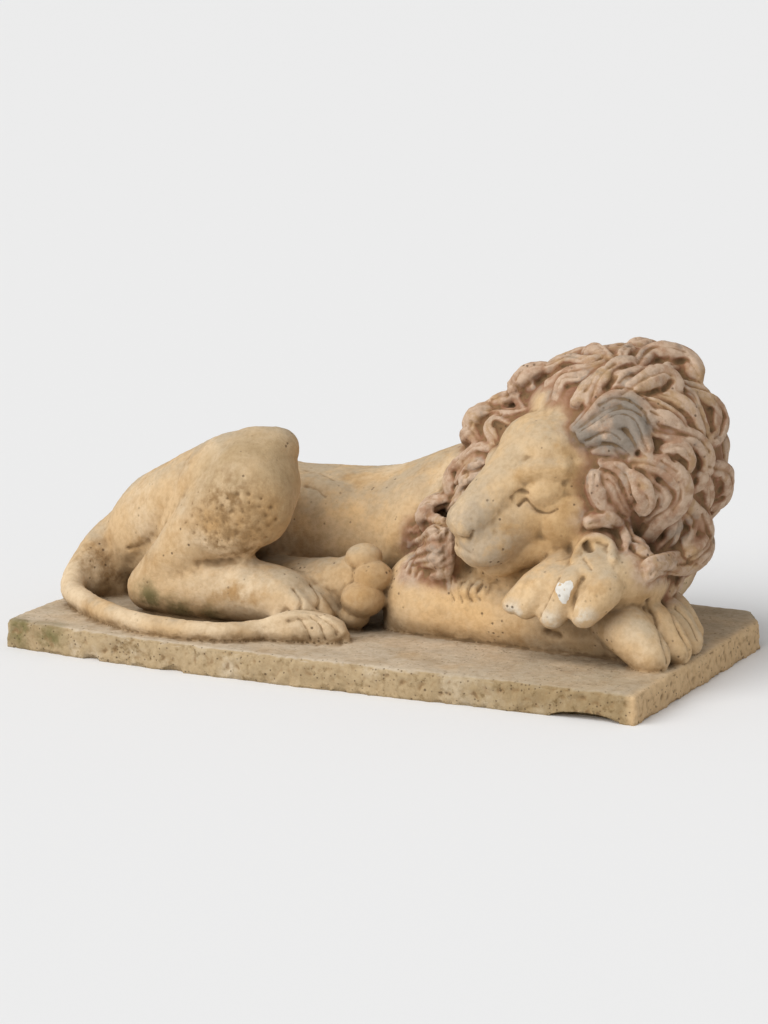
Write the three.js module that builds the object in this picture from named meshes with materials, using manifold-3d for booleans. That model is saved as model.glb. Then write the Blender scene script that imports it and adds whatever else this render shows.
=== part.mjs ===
// A sleeping lion of cast stone on its own thin plinth, made in one mould and so one solid.
// Millimetres. +X runs from the rump to the mane, +Y to the lion's back, +Z up.
// The origin is on the underside, in the middle of the plinth.
import * as THREE from "three";
import { mergeVertices } from "three/addons/utils/BufferGeometryUtils.js";
import Module from "manifold-3d";

// Driving dimensions: the plinth's slab, the mane's ball and the head's length set the rest.
const PLINTH_LENGTH = 760;
const PLINTH_WIDTH = 412;
const PLINTH_THICK = 32;
const PLINTH_WORN_EDGE = 7;
const HEAD_LENGTH = 164; // from the middle of the skull to the tip of the nose
const MANE_RADIUS = 117; // ball under the locks
const LOCK_RISE = 6; // how far a lock's middle stands off that ball

const STONE = new THREE.MeshStandardMaterial({ color: 0xc2a178, roughness: 0.92, metalness: 0 });

const v = (x, y, z) => new THREE.Vector3(x, y, z);
const UP = v(0, 0, 1);

const wasm = await Module();
wasm.setup();

// A closed geometry as a solid that can be joined and cut.
function solid(geometry) {
  geometry.deleteAttribute("normal");
  geometry.deleteAttribute("uv");
  const merged = mergeVertices(geometry, 1e-3);
  const corners = [];
  const index = merged.index.array;
  for (let i = 0; i < index.length; i += 3) {
    const [a, b, c] = index.slice(i, i + 3);
    if (a !== b && b !== c && c !== a) corners.push(a, b, c);
  }
  const vertProperties = merged.attributes.position.array;
  return new wasm.Manifold(new wasm.Mesh({ numProp: 3, vertProperties, triVerts: new Uint32Array(corners) }));
}

const join = (solids) => solids.reduce((whole, next) => whole.add(next));

// A lump of clay: an ellipsoid with three half sizes, turned by Euler angles in degrees.
function lump(at, sizes, turn = [0, 0, 0], sides = 16) {
  const ball = new THREE.SphereGeometry(1, sides, Math.round(sides * 0.7));
  const angles = turn.map(THREE.MathUtils.degToRad);
  const turned = new THREE.Quaternion().setFromEuler(new THREE.Euler(...angles));
  ball.applyMatrix4(new THREE.Matrix4().compose(at, turned, v(...sizes)));
  return solid(ball);
}

// A roll of clay along a smooth path, with round ends. Each station has a place, a half width across
// and a half thickness towards `facing`, which is a direction or a function of the place.
function roll(stations, { facing = UP, sides = 12, steps = 10, cap = 2 } = {}) {
  const path = new THREE.CatmullRomCurve3(stations.map((s) => s.at), false, "catmullrom");
  const girth = new THREE.SplineCurve(stations.map((s) => new THREE.Vector2(s.wide, s.thick ?? s.wide)));
  const rings = steps + 2 * cap;
  const skin = new THREE.SphereGeometry(1, sides, rings);
  const place = skin.attributes.position;
  for (let i = 0; i < place.count; i++) {
    const ring = Math.floor(i / (sides + 1));
    const round = ((i % (sides + 1)) / sides) * 2 * Math.PI;
    const along = THREE.MathUtils.clamp((ring - cap) / steps, 0, 1);
    const beyond = Math.min(ring - cap, 0) + Math.max(ring - cap - steps, 0);
    const bend = (beyond / cap) * (Math.PI / 2);
    const centre = path.getPoint(along);
    const run = path.getTangent(along);
    const out = typeof facing === "function" ? facing(centre) : facing;
    const across = v().crossVectors(run, out).normalize();
    const over = v().crossVectors(across, run);
    const half = girth.getPoint(along).multiplyScalar(Math.cos(bend));
    const end = girth.getPoint(along);
    centre.addScaledVector(run, Math.min(end.x, end.y) * Math.sin(bend));
    centre.addScaledVector(across, -Math.cos(round) * half.x).addScaledVector(over, -Math.sin(round) * half.y);
    place.setXYZ(i, centre.x, centre.y, centre.z);
  }
  return solid(skin);
}

const station = (x, y, z, wide, thick) => ({ at: v(x, y, z), wide, thick });
const TOE = { sides: 6, steps: 3, cap: 2 };

// The trunk lies on its left side, with the spine at the back of the plinth.
function trunk() {
  return roll(
    [
      station(-308, 42, 96, 60, 56),
      station(-245, 52, 108, 98, 78),
      station(-140, 82, 104, 100, 73),
      station(-30, 95, 106, 98, 79),
      station(70, 92, 124, 105, 98),
      station(160, 85, 136, 112, 112),
      station(240, 80, 124, 100, 92),
    ],
    { sides: 14, steps: 8 },
  );
}

// The near hind leg is folded: thigh up to the knee, shank back to the hock, foot forward on the plinth.
function nearHindLeg() {
  const rump = lump(v(-296, -4, 104), [62, 64, 58], [0, -35, 0], 10);
  const thigh = roll(
    [
      station(-282, -6, 112, 64),
      station(-212, -42, 150, 62),
      station(-155, -64, 184, 56),
      station(-136, -70, 191, 50),
    ],
    { sides: 12, steps: 4, cap: 2 },
  );
  const shank = roll(
    [
      station(-128, -88, 184, 54),
      station(-181, -100, 130, 42),
      station(-225, -102, 88, 31),
      station(-252, -100, 60, 27),
    ],
    { sides: 12, steps: 4, cap: 2 },
  );
  const foot = roll(
    [
      station(-252, -100, 58, 26),
      station(-200, -102, 62, 32),
      station(-130, -104, 63, 32),
      station(-75, -110, 58, 34, 26),
    ],
    { sides: 12, steps: 5 },
  );
  const toes = [];
  for (let i = 0; i < 4; i++) {
    const y = -141 + 20 * i;
    const reach = -18 - 7 * Math.abs(i - 1.4);
    const root = station(-84, y * 0.88 - 9, 62, 14);
    toes.push(roll([root, station(reach - 22, y, 62, 15), station(reach, y, 46, 12)], TOE));
  }
  return [rump, thigh, shank, foot, ...toes];
}

// The far hind paw comes out from under the belly and shows its sole.
function farHindPaw() {
  const foot = roll([station(-130, -34, 66, 30), station(-75, -50, 72, 29), station(-40, -60, 76, 31)], {
    sides: 8,
    steps: 3,
  });
  const balls = [];
  for (let i = 0; i < 4; i++) {
    const swing = THREE.MathUtils.degToRad(-52 + 34 * i);
    const at = v(-44 + 48 * Math.cos(swing), -66 - 5 * i, 80 - 42 * Math.sin(swing));
    balls.push(lump(at, [22, 24, 17 + 2 * (i % 2)], [0, 0, 0], 8));
  }
  return [foot, ...balls];
}

function tail() {
  const whip = roll(
    [
      station(-342, 14, 112, 22),
      station(-360, -40, 84, 18),
      station(-358, -95, 52, 15),
      station(-319, -136, 44, 14),
      station(-223, -190, 43, 13),
      station(-122, -193, 43, 12),
      station(-60, -152, 44, 13),
    ],
    { sides: 8, steps: 16, cap: 1 },
  );
  const tuft = roll(
    [
      station(-64, -154, 44, 13),
      station(-32, -136, 46, 22, 18),
      station(-6, -128, 45, 17),
      station(12, -126, 40, 8),
    ],
    { sides: 8, steps: 4, cap: 1 },
  );
  return [whip, tuft];
}

// The near foreleg lies along the plinth, its paw at the end.
function nearForeleg() {
  const arm = roll(
    [
      station(62, -14, 76, 56, 46),
      station(140, -22, 74, 50, 44),
      station(220, -32, 68, 42, 38),
      station(300, -38, 64, 42, 34),
    ],
    { sides: 12, steps: 5 },
  );
  const toes = [];
  for (let i = 0; i < 4; i++) {
    const y = -96 + 40 * i;
    const reach = 364 - 6 * (i - 1.5) ** 2;
    const girth = 21 - 1.5 * i;
    const root = station(296, y * 0.45 - 24, 76, girth);
    const knuckle = station(reach - 26, y * 0.9 - 2, 72, girth);
    toes.push(roll([root, knuckle, station(reach, y, 46, girth - 4)], TOE));
  }
  return [arm, ...toes];
}

// The far foreleg comes round from behind, and its paw lies over the near wrist, under the chin.
function farForeleg() {
  const arm = roll(
    [
      station(262, 100, 95, 52),
      station(284, 40, 96, 44),
      station(304, -25, 108, 38),
      station(312, -68, 122, 34, 32),
      station(282, -92, 126, 38, 28),
    ],
    { sides: 12, steps: 6 },
  );
  const toes = [];
  for (let i = 0; i < 4; i++) {
    const x = [204, 218, 257, 297][i];
    const girth = 13 + 6 * Math.min(i, 1) - 0.5 * i;
    const root = station(246 + 18 * i, -88, 132 - 2 * i, girth);
    const knuckle = station(x + 20, -114, 116 - 2 * i, girth);
    toes.push(roll([root, knuckle, station(x, -128, 100 - 4 * i, girth - 3)], TOE));
  }
  return [arm, ...toes];
}

// The head's own frame: forward along the nose, to the lion's left, and up through the crown.
const SKULL = v(230, -10, 218);
const FORWARD = v(-0.55, -0.72, -0.42).normalize();
const LEFT = v().crossVectors(UP, FORWARD).normalize();
const CROWN = v().crossVectors(FORWARD, LEFT);
const HEAD_FRAME = new THREE.Matrix4().makeBasis(FORWARD, LEFT, CROWN).setPosition(SKULL);
const HEAD_TURN = new THREE.Euler().setFromRotationMatrix(HEAD_FRAME);
const HEAD_DEGREES = [HEAD_TURN.x, HEAD_TURN.y, HEAD_TURN.z].map(THREE.MathUtils.radToDeg);
const inHead = (forward, left, up) => v(forward, left, up).applyMatrix4(HEAD_FRAME);
const headStation = (forward, left, up, wide, thick) => ({ at: inHead(forward, left, up), wide, thick });
const headLump = (forward, left, up, sizes, sides) => lump(inHead(forward, left, up), sizes, HEAD_DEGREES, sides);

// Head, muzzle and closed eyes, in the head's frame.
function head() {
  const skull = headLump(0, 0, 5, [80, 74, 78], 12);
  const brow = headLump(30, 0, 40, [44, 62, 44], 10);
  const muzzle = roll(
    [
      headStation(22, 0, -6, 66, 58),
      headStation(70, 0, -6, 52, 46),
      headStation(108, 0, -6, 40, 41),
      headStation(128, 0, -6, 35, 38),
    ],
    { facing: CROWN, sides: 12, steps: 5, cap: 2 },
  );
  const bridge = roll(
    [
      headStation(46, 0, 44, 40, 30),
      headStation(96, 0, 26, 27, 19),
      headStation(HEAD_LENGTH - 18, 0, 15, 24, 16),
    ],
    { facing: CROWN, sides: 10, steps: 4, cap: 2 },
  );
  const chin = headLump(108, 0, -38, [32, 28, 20], 8);
  const pairs = [-1, 1].flatMap((side) => [
    headLump(40, 42 * side, -22, [46, 32, 40], 8),
    headLump(58, 40 * side, 24, [26, 24, 26], 8),
  ]);
  return [skull, brow, muzzle, bridge, chin, ...pairs];
}

// The mane is a ball behind the face. Places on it are a bearing round the face axis, in degrees from the
// crown towards the lion's left, and a spread, in degrees back from the nose.
const MANE = v(246, 40, 222);
const NAPE = v(200, 106, 150);
const NAPE_SIZES = [112, 78, 108];
const outOfMane = (place) => v().subVectors(place, MANE).normalize();

function onMane([bearing, spread], rise) {
  const [b, s] = [bearing, spread].map(THREE.MathUtils.degToRad);
  const out = FORWARD.clone().multiplyScalar(Math.cos(s));
  out.addScaledVector(CROWN, Math.sin(s) * Math.cos(b)).addScaledVector(LEFT, Math.sin(s) * Math.sin(b));
  return out.multiplyScalar(MANE_RADIUS + rise).add(MANE);
}

// A lock swells from its root and tapers to its tip.
function lock(places, wide, facing) {
  const last = places.length - 1;
  const stations = places.map((at, i) => {
    const swell = i === 0 ? 0.75 : i === last ? 0.4 : 1;
    return { at, wide: wide * swell * 1.15, thick: wide * swell };
  });
  return roll(stations, { facing, sides: 4, steps: last + 1, cap: 1 });
}

// The locks of one side: half width, then the places each one passes.
const LOCKS = [
  [14, [6, 86], [-12, 100], [-14, 112], [-2, 118]],
  [15, [24, 88], [14, 108], [0, 124], [14, 132]],
  [19, [20, 118], [4, 134], [18, 148], [46, 152]],
  [13, [38, 112], [34, 134], [52, 140]],
  [16, [26, 62], [30, 86], [28, 106], [42, 116]],
  [16, [34, 76], [38, 96], [48, 108], [56, 126]],
  [18, [42, 62], [40, 84], [52, 96], [68, 98]],
  [17, [62, 100], [80, 116], [94, 112], [104, 98]],
  [15, [46, 66], [56, 82], [66, 86], [76, 82]],
  [18, [74, 76], [84, 90], [98, 94], [108, 86], [120, 70]],
  [14, [78, 72], [88, 80], [97, 77], [99, 69]],
  [16, [64, 60], [78, 57], [90, 59], [98, 66]],
  [18, [104, 94], [124, 104], [146, 102], [154, 92]],
  [17, [130, 68], [150, 88], [152, 104]],
  [15, [58, 122], [74, 128], [88, 122]],
  [18, [60, 148], [90, 152], [110, 146], [100, 128]],
  [18, [98, 122], [126, 134], [138, 126], [130, 112]],
  [14, [10, 56], [12, 72], [4, 88]],
];

function mane() {
  const ball = lump(MANE, [MANE_RADIUS, MANE_RADIUS, MANE_RADIUS], HEAD_DEGREES, 12);
  const ruff = lump(v(160, 24, 178), [88, 84, 112], [0, 16, 0], 12);
  const crown = lump(v(254, 42, 312), [44, 44, 30], [0, 0, 0], 10);
  const nape = lump(NAPE, NAPE_SIZES, [0, 0, 0], 12);
  const locks = [];
  for (const side of [1, -1]) {
    for (const [wide, ...places] of LOCKS.filter((_, i) => side > 0 || i % 6 === 2)) {
      const path = places.map(([b, s]) => onMane(side > 0 ? [b, s] : [-b - 7, s + 3], LOCK_RISE));
      locks.push(lock(path, wide, outOfMane));
    }
  }
  return [ball, ruff, crown, nape, ...locks, ...ruffLocks(), ...napeLocks()];
}

// Locks that hang down the back of the ball and of the nape, one row on each.
function napeLocks() {
  const rows = [
    { at: MANE, sizes: [MANE_RADIUS, MANE_RADIUS, MANE_RADIUS], top: 296, first: 66, count: 4 },
    { at: NAPE, sizes: NAPE_SIZES, top: 214, first: 60, count: 4 },
  ];
  const locks = [];
  for (const { at, sizes, top, first, count } of rows) {
    const out = (place) => v(place.x - at.x, place.y - at.y, 0).normalize();
    for (let i = 0; i < count; i++) {
      const path = [0, 1, 2, 3].map((step) => {
        const z = top - 34 * step;
        const reach = Math.sqrt(1 - ((z - at.z) / sizes[2]) ** 2);
        const turn = THREE.MathUtils.degToRad(first + 26 * i + 6 * Math.sin(2 * step + i));
        return v(at.x + sizes[0] * reach * Math.cos(turn), at.y + sizes[1] * reach * Math.sin(turn), z);
      });
      locks.push(lock(path, 20, out));
    }
  }
  return locks;
}

// Locks that fan out from the far cheek down to the forearm, each a wave from root to tip.
function ruffLocks() {
  const roots = new THREE.CatmullRomCurve3([
    v(188, -26, 288),
    v(146, -38, 244),
    v(118, -58, 186),
    v(108, -72, 136),
    v(130, -82, 114),
  ]);
  const tips = new THREE.CatmullRomCurve3([
    v(140, 18, 302),
    v(90, -5, 240),
    v(78, -28, 165),
    v(46, -52, 108),
    v(120, -80, 84),
  ]);
  const locks = [];
  const count = 8;
  for (let i = 0; i < count; i++) {
    const [root, tip] = [roots.getPoint(i / (count - 1)), tips.getPoint(i / (count - 1))];
    const bow = v().crossVectors(v().subVectors(tip, root), v(0.4, -0.9, 0.1)).normalize();
    const wave = root.distanceTo(tip) * 0.16 * (i % 2 ? 1 : 0.6);
    const path = [0, 0.35, 0.7, 1].map((t) => {
      const at = v().lerpVectors(root, tip, t).addScaledVector(bow, wave * Math.sin(2 * Math.PI * t));
      return at.add(v(-2, -10, 4).multiplyScalar(Math.sin(Math.PI * t)));
    });
    locks.push(lock(path, 15, v(-0.35, -0.9, 0.25)));
  }
  return locks;
}

// The slab: its front edge bows out a little and its far right corner has broken off.
function plinth() {
  const [x, y] = [PLINTH_LENGTH / 2, PLINTH_WIDTH / 2];
  const plan = new THREE.Shape();
  plan.moveTo(x, -y);
  plan.lineTo(x, y - 48);
  plan.lineTo(x - 28, y);
  plan.lineTo(-x, y);
  plan.lineTo(-x, -y + 16);
  plan.quadraticCurveTo(-x, -y, -x + 20, -y - 2);
  plan.splineThru([
    new THREE.Vector2(-x * 0.4, -y - 20),
    new THREE.Vector2(x * 0.4, -y - 3),
    new THREE.Vector2(x, -y),
  ]);
  const slab = new THREE.ExtrudeGeometry(plan, {
    depth: PLINTH_THICK - PLINTH_WORN_EDGE,
    bevelThickness: PLINTH_WORN_EDGE,
    bevelSize: PLINTH_WORN_EDGE,
    bevelOffset: -PLINTH_WORN_EDGE,
    bevelSegments: 1,
    curveSegments: 5,
  });
  return solid(slab);
}

// Bites out of the plinth's lower front edge.
function chips() {
  const front = -PLINTH_WIDTH / 2;
  return join([
    lump(v(-156, front - 22, -2), [15, 16, 9], [0, 0, 0], 8),
    lump(v(-262, front - 12, -2), [10, 12, 6], [0, 0, 0], 8),
    lump(v(366, front + 6, -6), [58, 28, 14], [0, 0, 0], 8),
  ]);
}

function sleepingLion() {
  const clay = join([
    plinth(),
    trunk(),
    ...nearHindLeg(),
    ...farHindPaw(),
    ...tail(),
    ...nearForeleg(),
    ...farForeleg(),
    ...head(),
    ...mane(),
  ]);
  const under = new THREE.BoxGeometry(1200, 1200, 200).translate(0, 0, -100);
  const { vertProperties, triVerts } = clay.subtract(solid(under)).subtract(chips()).getMesh();
  const geometry = new THREE.BufferGeometry();
  geometry.setAttribute("position", new THREE.BufferAttribute(vertProperties, 3));
  geometry.setIndex(new THREE.BufferAttribute(triVerts, 1));
  const mesh = new THREE.Mesh(geometry, STONE);
  mesh.name = "sleeping_lion";
  return mesh;
}

const lion = new THREE.Group();
lion.add(sleepingLion());

export default lion;
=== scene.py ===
# %% [markdown]
# A lion asleep on a thin slab: a garden ornament cast in one piece of ochre stone, then left outdoors for
# many years. The imported model gives its size, its place and its big masses. This lesson models the same
# lion in finer clay, fuses it, carves it and weathers it. The frame is loaded first, because everything
# below stands in it.

# %% Load the frame
import math

import bmesh
import bpy
import numpy as np
from mathutils import Euler, Matrix, Vector, noise
from mathutils.bvhtree import BVHTree


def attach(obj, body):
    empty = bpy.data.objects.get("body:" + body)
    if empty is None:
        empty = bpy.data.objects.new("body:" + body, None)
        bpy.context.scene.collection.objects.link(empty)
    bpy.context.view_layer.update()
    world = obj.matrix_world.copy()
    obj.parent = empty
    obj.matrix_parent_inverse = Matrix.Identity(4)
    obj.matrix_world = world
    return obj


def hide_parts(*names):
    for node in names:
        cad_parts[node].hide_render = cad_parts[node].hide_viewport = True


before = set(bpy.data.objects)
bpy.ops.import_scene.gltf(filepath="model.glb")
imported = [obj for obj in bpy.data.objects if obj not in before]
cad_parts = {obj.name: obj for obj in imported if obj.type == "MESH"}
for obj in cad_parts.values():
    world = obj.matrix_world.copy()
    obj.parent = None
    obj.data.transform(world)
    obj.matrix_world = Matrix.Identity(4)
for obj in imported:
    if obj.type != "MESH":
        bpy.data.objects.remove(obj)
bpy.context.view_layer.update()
scene = bpy.context.scene

# %% [markdown]
# The camera comes first, so that every later step can be looked at from the same place. It stands low in
# front of the lion and a little towards its head, far away with a long lens, which keeps the slab's edges
# nearly parallel. Its axes are written out as three vectors: to the right, up, and back from the lion.

# %% Camera
CAMERA_TURN = math.radians(26.5)
CAMERA_RISE = math.radians(11.7)
CAMERA_DISTANCE = 3.815
CAMERA_LENS = 119.53
FRAMING_RIGHT = -0.0085
FRAMING_UP = 0.1473

to_right = Vector((math.cos(CAMERA_TURN), math.sin(CAMERA_TURN), 0))
to_back = Vector((
    math.sin(CAMERA_TURN) * math.cos(CAMERA_RISE),
    -math.cos(CAMERA_TURN) * math.cos(CAMERA_RISE),
    math.sin(CAMERA_RISE),
))
to_top = to_back.cross(to_right)
lens = bpy.data.cameras.new("camera")
lens.lens = CAMERA_LENS
lens.clip_end = 200
camera = bpy.data.objects.new("camera", lens)
camera.matrix_world = Matrix((to_right, to_top, to_back)).transposed().to_4x4()
camera.location = to_right * FRAMING_RIGHT + to_top * FRAMING_UP + to_back * CAMERA_DISTANCE
scene.collection.objects.link(camera)
scene.camera = camera
print("camera stands at", [round(n, 3) for n in camera.location])

# %% [markdown]
# The studio is a pale floor without an edge under one broad soft light. A sun with a very wide disc does
# that: it lights the whole floor evenly, so floor and background run together, and its shadows have no
# hard line. The world adds a pale light from all round, which fills the hollows. The plain Standard view
# keeps the colours as they are mixed.

# %% Floor and light
FLOOR_REACH = 60
FLOOR_PALE = (0.83, 0.83, 0.83, 1)
FLOOR_ROUGHNESS, FLOOR_SHINE = 0.9, 0.1
SKY_PALE = (1.0, 1.0, 1.0, 1)
SKY_STRENGTH = 0.50
SUN_STRENGTH = 2.5
SUN_DISC = math.radians(56)
SUN_FROM = Vector((-0.40, -0.78, 0.76))

floor_shape = bmesh.new()
bmesh.ops.create_grid(floor_shape, x_segments=2, y_segments=2, size=FLOOR_REACH)
floor_mesh = bpy.data.meshes.new("studio_floor")
floor_shape.to_mesh(floor_mesh)
floor_shape.free()
floor = bpy.data.objects.new("studio_floor", floor_mesh)
scene.collection.objects.link(floor)
floor_paint = bpy.data.materials.new("pale floor")
floor_paint.use_nodes = True
floor_shader = floor_paint.node_tree.nodes["Principled BSDF"]
floor_shader.inputs["Base Color"].default_value = FLOOR_PALE
floor_shader.inputs["Roughness"].default_value = FLOOR_ROUGHNESS
floor_shader.inputs["Specular IOR Level"].default_value = FLOOR_SHINE
floor_mesh.materials.append(floor_paint)

world = bpy.data.worlds.new("studio")
world.use_nodes = True
world.node_tree.nodes["Background"].inputs["Color"].default_value = SKY_PALE
world.node_tree.nodes["Background"].inputs["Strength"].default_value = SKY_STRENGTH
scene.world = world
sun_data = bpy.data.lights.new("soft sun", "SUN")
sun_data.energy = SUN_STRENGTH
sun_data.angle = SUN_DISC
sun = bpy.data.objects.new("soft sun", sun_data)
sun.rotation_mode = "QUATERNION"
sun.rotation_quaternion = SUN_FROM.to_track_quat("Z", "Y")
scene.collection.objects.link(sun)
scene.view_settings.view_transform = "Standard"
print("floor", FLOOR_REACH * 2, "m across, sky", SKY_STRENGTH, "sun", SUN_STRENGTH)

# %% [markdown]
# A modeller builds such a lion from lumps and rolls of clay on a board. Two helpers do the same here. A
# lump is an icosphere stretched and set in place. A roll is a sphere whose rings are slid along a smooth
# path, with a width and a thickness at each station, so it has round ends and no seam. Skin and curve
# objects could do it too, but a sphere bent along a path stays a closed form that fuses cleanly.

# %% Lumps and rolls
MM = 0.001
UP = Vector((0, 0, 1))


def trace(stations, share):
    """Place, direction, half width and half thickness at a share of the way along smooth stations."""
    table = np.array([tuple(s) + (s[3],) * (5 - len(s)) for s in stations], float)
    table = np.vstack([2 * table[0] - table[1], table, 2 * table[-1] - table[-2]])
    spot = share * (len(stations) - 1)
    i = min(int(spot), len(stations) - 2)
    t = spot - i
    a, b, c, d = table[i:i + 4]
    curve = (2 * b, c - a, 2 * a - 5 * b + 4 * c - d, 3 * b - a - 3 * c + d)
    here = 0.5 * (curve[0] + curve[1] * t + curve[2] * t * t + curve[3] * t ** 3)
    run = curve[1] + 2 * curve[2] * t + 3 * curve[3] * t * t
    return Vector(here[:3]), Vector(run[:3]).normalized(), here[3], here[4]


def sideways(run, facing, at, lean=0):
    """The two directions across a path: along the surface, and out of it; both may lean to one side."""
    out = facing(at) if callable(facing) else facing
    across = run.cross(out).normalized()
    over = across.cross(run)
    return across * math.cos(lean) + over * math.sin(lean), over * math.cos(lean) - across * math.sin(lean)


def settle(shape, heap):
    """Puts a finished shape on a heap of clay, as a mesh of its own."""
    mesh = bpy.data.meshes.new("clay")
    shape.to_mesh(mesh)
    shape.free()
    heap.append(mesh)


def lump(heap, at, sizes, turn=None, detail=4):
    """Presses one rounded lump on to the heap; sizes are its half axes in mm."""
    shape = bmesh.new()
    bmesh.ops.create_icosphere(shape, subdivisions=detail, radius=1)
    place = Matrix.LocRotScale(Vector(at) * MM, turn, Vector(sizes) * MM)
    bmesh.ops.transform(shape, matrix=place, verts=shape.verts)
    settle(shape, heap)


def roll(heap, stations, facing=UP, sides=20, steps=24, cap=6, lean=0):
    """Lays a roll of clay along the stations (x, y, z, half width, half thickness), in mm."""
    rings = steps + 2 * cap
    shape = bmesh.new()
    bmesh.ops.create_uvsphere(shape, u_segments=sides, v_segments=rings, radius=1)
    hoops = []
    for ring in range(rings + 1):
        share = min(max((ring - cap) / steps, 0), 1)
        beyond = min(ring - cap, 0) + max(ring - cap - steps, 0)
        bend = beyond / cap * math.pi / 2
        at, run, wide, thick = trace(stations, share)
        across, over = sideways(run, facing, at, lean)
        centre = at + run * (min(wide, thick) * math.sin(bend))
        hoops.append((centre, across * (wide * math.cos(bend)), over * (thick * math.cos(bend))))
    for vert in shape.verts:
        ring = round(math.acos(max(-1, min(1, vert.co.z))) / math.pi * rings)
        turn = math.atan2(vert.co.y, vert.co.x)
        centre, across, over = hoops[ring]
        vert.co = (centre + across * math.cos(turn) + over * math.sin(turn)) * MM
    settle(shape, heap)


clay = []
details = []
crisp = []
print("three heaps of clay: big masses, details pressed on later, and crisp forms that nothing smooths")

# %% [markdown]
# Many forms of the lion are traced. A place is then a pixel of the 768 by 1024 picture that this camera
# takes, and a ray through that pixel finds the place in space: at a known depth, or on the clay that is
# already there. How far a form stands off the clay is a real height in millimetres, so traced forms sit on
# the body from every side.

# %% Rays through the picture
PICTURE_WIDE, PICTURE_HIGH = 768, 1024
SENSOR = 36
EYE = camera.location / MM
PIXELS_DEEP = CAMERA_LENS / SENSOR * PICTURE_HIGH
HEAD_PIXEL = Vector((600, 470))


def ray_through(u, v):
    """The direction from the camera through a pixel."""
    across = to_right * ((u - PICTURE_WIDE / 2) / PIXELS_DEEP)
    return (across + to_top * ((PICTURE_HIGH / 2 - v) / PIXELS_DEEP) - to_back).normalized()


def shown(u, v, y):
    """The point that a pixel shows at a distance y towards the lion's back."""
    away = ray_through(u, v)
    return EYE + away * ((y - EYE.y) / away.y)


def touched(tree, u, v):
    """Where a pixel's ray meets the clay; past the outline, at the depth of the nearest clay inwards."""
    spot = Vector((u, v))
    hit = None
    while hit is None:
        hit = tree.ray_cast(EYE * MM, ray_through(*spot))[0]
        spot += (HEAD_PIXEL - spot).normalized() * 2
    away = ray_through(u, v)
    return EYE + away * ((hit / MM - EYE).dot(away))


def seen(tree, u, v, rise, facing):
    """A point that a pixel shows, standing off the clay by a height."""
    at = touched(tree, u, v)
    away = ray_through(u, v)
    return EYE + away * ((at + facing(at) * rise - EYE).dot(away))


def press(places):
    """Presses lumps on to the big masses: a pixel and a depth, then the half axes in mm."""
    for spot, sizes in places:
        lump(clay, shown(*spot), sizes)


print("one pixel is", round(CAMERA_DISTANCE / MM / PIXELS_DEEP, 2), "mm at the lion")

# %% [markdown]
# The trunk lies on its side with the spine towards the back of the slab. It is one thick roll, narrow at
# the rump, drawn in at the waist and deep at the chest. Over it go the low swellings that the skin shows:
# the ribs.

# %% Trunk
TRUNK = [
    (-308, 42, 96, 60, 56),
    (-245, 52, 108, 98, 78),
    (-140, 82, 104, 100, 73),
    (-30, 95, 106, 98, 79),
    (70, 92, 124, 105, 98),
    (160, 85, 136, 112, 112),
    (240, 80, 124, 100, 92),
]
roll(clay, TRUNK, sides=36, steps=60, cap=12)
RIBS = 4
for i in range(RIBS):
    x = 10 + 34 * i
    roll(clay, [(x - 26, 12, 70, 12), (x - 8, 2, 118, 13), (x + 14, 22, 172, 12), (x + 24, 60, 206, 8)])
print("trunk with", RIBS, "ribs")

# %% [markdown]
# The near hind leg is folded like a closed knife: the thigh rises to the knee, the shank comes back down
# to the hock, and the long foot points forward on the slab. The rump is a lump beside it. Where two rolls
# meet, the later fusing leaves the crease that shows on the haunch.

# %% Near hind leg
lump(clay, (-296, -4, 104), (62, 64, 58), Euler((0, math.radians(-35), 0)))
THIGH = [(-282, -6, 112, 64), (-212, -42, 150, 62), (-155, -64, 184, 56), (-136, -70, 191, 50)]
SHANK = [(-128, -88, 184, 54), (-181, -100, 130, 42), (-225, -102, 88, 31), (-252, -100, 60, 27)]
FOOT = [(-252, -100, 60, 28), (-200, -102, 66, 35), (-130, -104, 70, 36), (-75, -108, 66, 38, 32)]
for limb in (THIGH, SHANK, FOOT):
    roll(clay, limb, sides=32, steps=36, cap=10)
KNEE_AND_CALF = [
    ((258, 462, -70), (44, 42, 40)),
    ((274, 448, -66), (27, 36, 24)),
    ((252, 500, -104), (50, 36, 54)),
    ((230, 528, -108), (44, 36, 36)),
]
TAIL_WEB = [(94, 562, -50), (96, 580, -56), (112, 574, -36), (118, 590, -30)]
press(KNEE_AND_CALF)
press([(spot, (22, 32, 24)) for spot in TAIL_WEB])
HIND_TOES = 4
for i in range(HIND_TOES):
    y = -128 + 18 * i
    reach = -24 - 7 * abs(i - 1.4)
    toe = [(-84, y * 0.88 - 9, 70, 15), (reach - 22, y, 69, 14), (reach, y, 52, 11)]
    roll(details, toe)
print("near hind leg with", HIND_TOES, "toes")

# %% [markdown]
# The far hind paw comes out from under the belly and shows its sole, with the toes as a bunch of balls
# round the pad.

# %% Far hind paw
roll(clay, [(-130, -34, 66, 30), (-75, -50, 72, 29), (-44, -58, 76, 30)])
SOLE_PADS = [((332, 584, -58), (32, 26, 30)), ((354, 590, -58), (28, 28, 42))]
press(SOLE_PADS)
SOLE_TOES = [
    (364, 557, -60, 20, 15),
    (373, 577, -68, 22, 18),
    (363, 599, -80, 25, 20),
    (353, 616, -80, 19, 15),
]
for u, v, y, wide, high in SOLE_TOES:
    lump(crisp, shown(u, v, y), (wide, wide, high))
print("far hind paw with", len(SOLE_TOES), "toes")

# %% [markdown]
# The tail leaves the rump, drops to the slab and runs forward round the foot to its tuft. It is a thin
# roll that gets a little thinner to the end.

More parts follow.
